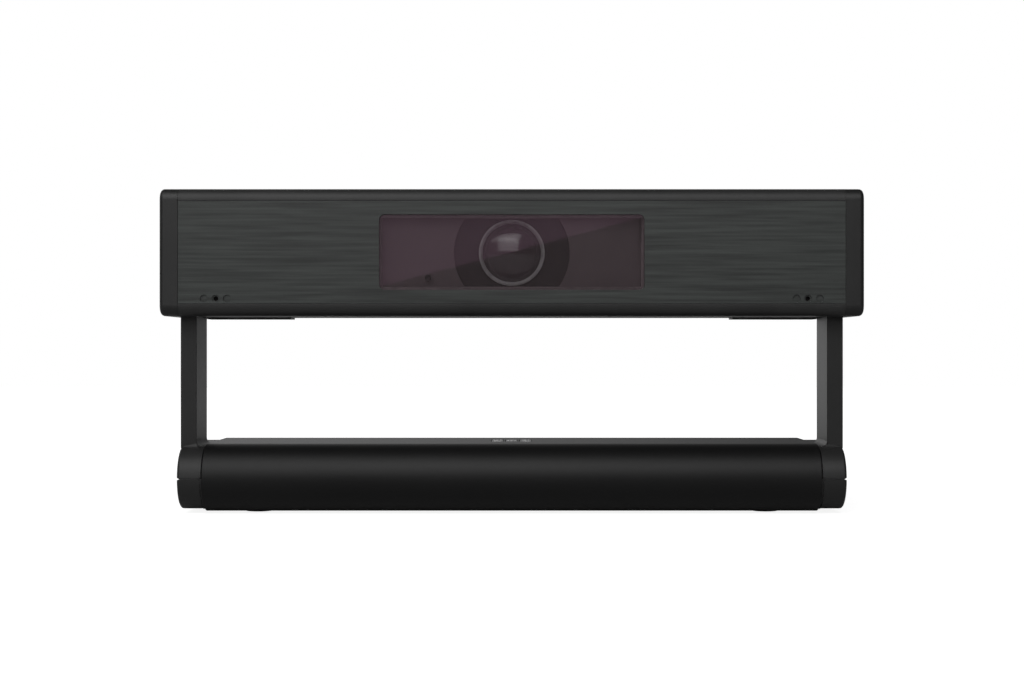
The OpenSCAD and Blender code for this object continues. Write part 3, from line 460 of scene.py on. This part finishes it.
camera_data = bpy.data.cameras.new("camera")
camera_data.lens = CAMERA_LENS
camera_data.sensor_width = SENSOR_WIDTH
camera_data.clip_end = 50.0
camera = bpy.data.objects.new("camera", camera_data)
camera.location = CAMERA_AT
camera.rotation_euler = (math.radians(90.0), 0.0, 0.0)
scene.collection.objects.link(camera)
scene.camera = camera


def softbox(name, at, target, width, height, power):
    """A wide lamp that the camera itself doesn't see."""
    lamp = bpy.data.lights.new(name, "AREA")
    lamp.shape = "RECTANGLE"
    lamp.size = width
    lamp.size_y = height
    lamp.energy = power
    obj = bpy.data.objects.new(name, lamp)
    obj.location = at
    scene.collection.objects.link(obj)
    obj.visible_camera = False
    aim(obj, target)


softbox("key_light", at=(-0.5, -1.20, 1.75), target=(0.0, 0.0, 0.08),
        width=3.0, height=1.2, power=21.0)
softbox("front_light", at=(-0.27, -1.45, 0.87), target=(0.0, -0.05, 0.13),
        width=1.7, height=1.15, power=11.5)


# Floor, in metres: white to the camera apart from a faint shadow, and clear from below. Its glow turns to
# full white between the two GLOW distances from the middle. Mirror images show it bright only behind the
# object, where it rises between the two MIRROR depths.
FLOOR_SIZE = 6.0
FLOOR_DROP = 0.00005
FLOOR_TONE = 0.5
FLOOR_NEAR_GLOW = 0.88
GLOW_FROM, GLOW_TO = 0.3, 0.6
MIRROR_FROM, MIRROR_TO = 0.25, 1.2

# Backdrop in reflections: the direction's parts between which it fades, and the least light elsewhere
BEHIND_FROM, BEHIND_TO = 0.1, 0.6
HIGH_TO_LOW = (0.85, 0.1)
LEFT_TO_RIGHT = (-0.15, 0.2)
RIGHT_SHARE = 0.2
LEAST_LIGHT = 0.03


def path_weight(tree, rays):
    """One where the ray is of any of the kinds named."""
    path = tree.nodes.new("ShaderNodeLightPath")
    total = path.outputs[rays[0]]
    for ray in rays[1:]:
        adder = tree.nodes.new("ShaderNodeMath")
        adder.operation = "MAXIMUM"
        tree.links.new(total, adder.inputs[0])
        tree.links.new(path.outputs[ray], adder.inputs[1])
        total = adder.outputs[0]
    return total


def ramp_between(tree, value, start, end):
    """Rises smoothly from none at the start to one at the end."""
    made = tree.nodes.new("ShaderNodeMapRange")
    made.interpolation_type = "SMOOTHSTEP"
    made.inputs["From Min"].default_value = start
    made.inputs["From Max"].default_value = end
    tree.links.new(value, made.inputs["Value"])
    return made.outputs["Result"]


def product(tree, first, second):
    made = tree.nodes.new("ShaderNodeMath")
    made.operation = "MULTIPLY"
    tree.links.new(first, made.inputs[0])
    tree.links.new(second, made.inputs[1])
    return made.outputs[0]


def fade_to_right(tree, sideways):
    """The backdrop is darker to the right, as in the photograph's reflections."""
    made = tree.nodes.new("ShaderNodeMapRange")
    made.inputs["From Min"].default_value = LEFT_TO_RIGHT[0]
    made.inputs["From Max"].default_value = LEFT_TO_RIGHT[1]
    made.inputs["To Min"].default_value = 1.0
    made.inputs["To Max"].default_value = RIGHT_SHARE
    tree.links.new(sideways, made.inputs["Value"])
    return made.outputs["Result"]


def floor_material():
    """Pale paper whose glow depends on which rays meet it."""
    made = bpy.data.materials.new("pale_floor")
    made.use_nodes = True
    tree = made.node_tree
    tree.nodes.clear()
    output = tree.nodes.new("ShaderNodeOutputMaterial")
    paper = tree.nodes.new("ShaderNodeBsdfDiffuse")
    paper.inputs["Color"].default_value = (FLOOR_TONE, FLOOR_TONE, FLOOR_TONE, 1.0)
    glow = tree.nodes.new("ShaderNodeEmission")
    glow.inputs["Color"].default_value = (1.0, 1.0, 1.0, 1.0)
    place = tree.nodes.new("ShaderNodeTexCoord")
    parts = tree.nodes.new("ShaderNodeSeparateXYZ")
    tree.links.new(place.outputs["Object"], parts.inputs["Vector"])
    behind = ramp_between(tree, parts.outputs["Y"], MIRROR_FROM, MIRROR_TO)
    mirrored = product(tree, path_weight(tree, ["Is Glossy Ray", "Is Transmission Ray"]), behind)
    reach = tree.nodes.new("ShaderNodeVectorMath")
    reach.operation = "LENGTH"
    tree.links.new(place.outputs["Object"], reach.inputs[0])
    far = ramp_between(tree, reach.outputs["Value"], GLOW_FROM, GLOW_TO)
    bright = tree.nodes.new("ShaderNodeMapRange")
    bright.inputs["To Min"].default_value = FLOOR_NEAR_GLOW
    bright.inputs["To Max"].default_value = 1.0
    tree.links.new(far, bright.inputs["Value"])
    seen = product(tree, path_weight(tree, ["Is Camera Ray"]), bright.outputs["Result"])
    strength = tree.nodes.new("ShaderNodeMath")
    strength.operation = "MAXIMUM"
    tree.links.new(mirrored, strength.inputs[0])
    tree.links.new(seen, strength.inputs[1])
    tree.links.new(strength.outputs[0], glow.inputs["Strength"])
    both = tree.nodes.new("ShaderNodeAddShader")
    tree.links.new(paper.outputs[0], both.inputs[0])
    tree.links.new(glow.outputs[0], both.inputs[1])
    facing = tree.nodes.new("ShaderNodeNewGeometry")
    clear = tree.nodes.new("ShaderNodeBsdfTransparent")
    either = tree.nodes.new("ShaderNodeMixShader")
    tree.links.new(facing.outputs["Backfacing"], either.inputs["Fac"])
    tree.links.new(both.outputs[0], either.inputs[1])
    tree.links.new(clear.outputs[0], either.inputs[2])
    tree.links.new(either.outputs[0], output.inputs["Surface"])
    return made


def make_floor():
    build = bmesh.new()
    half = FLOOR_SIZE / 2
    corners = [(x, y, -FLOOR_DROP) for x, y in bar(-half, half, -half, half)]
    build.faces.new([build.verts.new(corner) for corner in corners])
    mesh = bpy.data.meshes.new("floor")
    build.to_mesh(mesh)
    build.free()
    floor = bpy.data.objects.new("floor", mesh)
    mesh.materials.append(floor_material())
    scene.collection.objects.link(floor)


make_floor()


# A tinted card above the camera that only mirror images show, with a slanting lower edge, in millimetres
CARD_CORNERS = ((-150.0, 142.0), (150.0, 221.0), (150.0, 245.0), (-150.0, 245.0))
CARD_Y = -955.0
CARD_TINT = (0.60, 0.33, 0.50)


def make_card():
    made = bpy.data.materials.new("tinted_card")
    made.use_nodes = True
    tree = made.node_tree
    tree.nodes.clear()
    output = tree.nodes.new("ShaderNodeOutputMaterial")
    glow = tree.nodes.new("ShaderNodeEmission")
    glow.inputs["Color"].default_value = (*CARD_TINT, 1.0)
    clear = tree.nodes.new("ShaderNodeBsdfTransparent")
    choose = tree.nodes.new("ShaderNodeMixShader")
    tree.links.new(path_weight(tree, ["Is Glossy Ray"]), choose.inputs["Fac"])
    tree.links.new(clear.outputs[0], choose.inputs[1])
    tree.links.new(glow.outputs[0], choose.inputs[2])
    tree.links.new(choose.outputs[0], output.inputs["Surface"])
    build = bmesh.new()
    corners = [(x * MM, CARD_Y * MM, z * MM) for x, z in CARD_CORNERS]
    build.faces.new([build.verts.new(corner) for corner in corners])
    mesh = bpy.data.meshes.new("tinted_card")
    build.to_mesh(mesh)
    build.free()
    mesh.materials.append(made)
    card = bpy.data.objects.new("tinted_card", mesh)
    card.visible_camera = False
    card.visible_diffuse = False
    card.visible_shadow = False
    scene.collection.objects.link(card)


make_card()


def make_world():
    """White to the camera, and in reflections white low behind the object and dim elsewhere."""
    world = bpy.data.worlds.new("studio")
    world.use_nodes = True
    tree = world.node_tree
    ground = tree.nodes["Background"]
    ground.inputs["Color"].default_value = (1.0, 1.0, 1.0, 1.0)
    place = tree.nodes.new("ShaderNodeTexCoord")
    parts = tree.nodes.new("ShaderNodeSeparateXYZ")
    tree.links.new(place.outputs["Generated"], parts.inputs["Vector"])
    behind = ramp_between(tree, parts.outputs["Y"], BEHIND_FROM, BEHIND_TO)
    low = ramp_between(tree, parts.outputs["Z"], *HIGH_TO_LOW)
    backdrop = product(tree, product(tree, behind, low), fade_to_right(tree, parts.outputs["X"]))
    dim = tree.nodes.new("ShaderNodeMath")
    dim.operation = "MAXIMUM"
    dim.inputs[1].default_value = LEAST_LIGHT
    tree.links.new(backdrop, dim.inputs[0])
    strength = tree.nodes.new("ShaderNodeMath")
    strength.operation = "MAXIMUM"
    tree.links.new(dim.outputs[0], strength.inputs[0])
    tree.links.new(path_weight(tree, ["Is Camera Ray", "Is Transmission Ray"]), strength.inputs[1])
    tree.links.new(strength.outputs[0], ground.inputs["Strength"])
    scene.world = world


make_world()
scene.view_settings.view_transform = "Standard"
